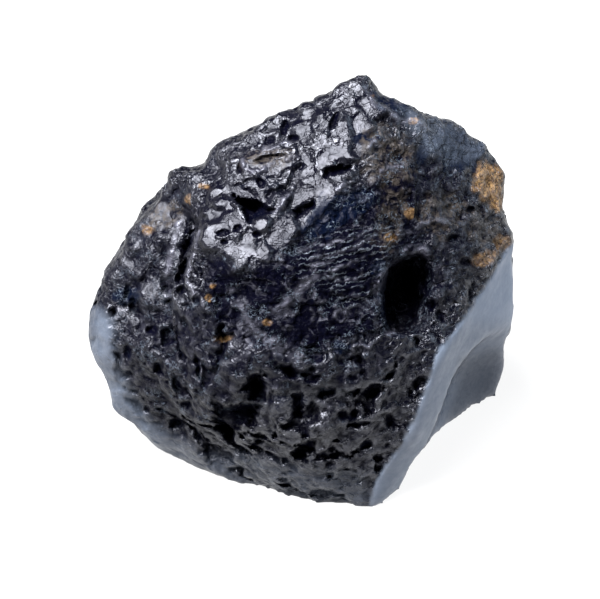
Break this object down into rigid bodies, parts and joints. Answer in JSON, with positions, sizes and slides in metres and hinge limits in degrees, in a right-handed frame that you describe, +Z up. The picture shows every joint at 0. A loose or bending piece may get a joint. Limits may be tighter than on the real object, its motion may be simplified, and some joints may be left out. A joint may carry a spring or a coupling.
{
  "type": "rough sapphire",
  "caption": "Rough, uncut dark blue sapphire fragment with a lumpy, pitted front, one smooth fracture face and a flat underside.",
  "frame": {"origin": "under the middle of the stone's box, in the plane that it rests on", "axes": "+Z up; the pitted front looks along -Y and upward; the smooth fracture face looks along +X; the peak is right of the middle"},
  "size_m": [0.0202, 0.0152, 0.0183],
  "materials": {
    "sapphire": "glossy, very dark blue, nearly opaque, with ochre stains"
  },
  "bodies": {
    "root": {"sapphire": "sapphire"}
  },
  "joints": []
}
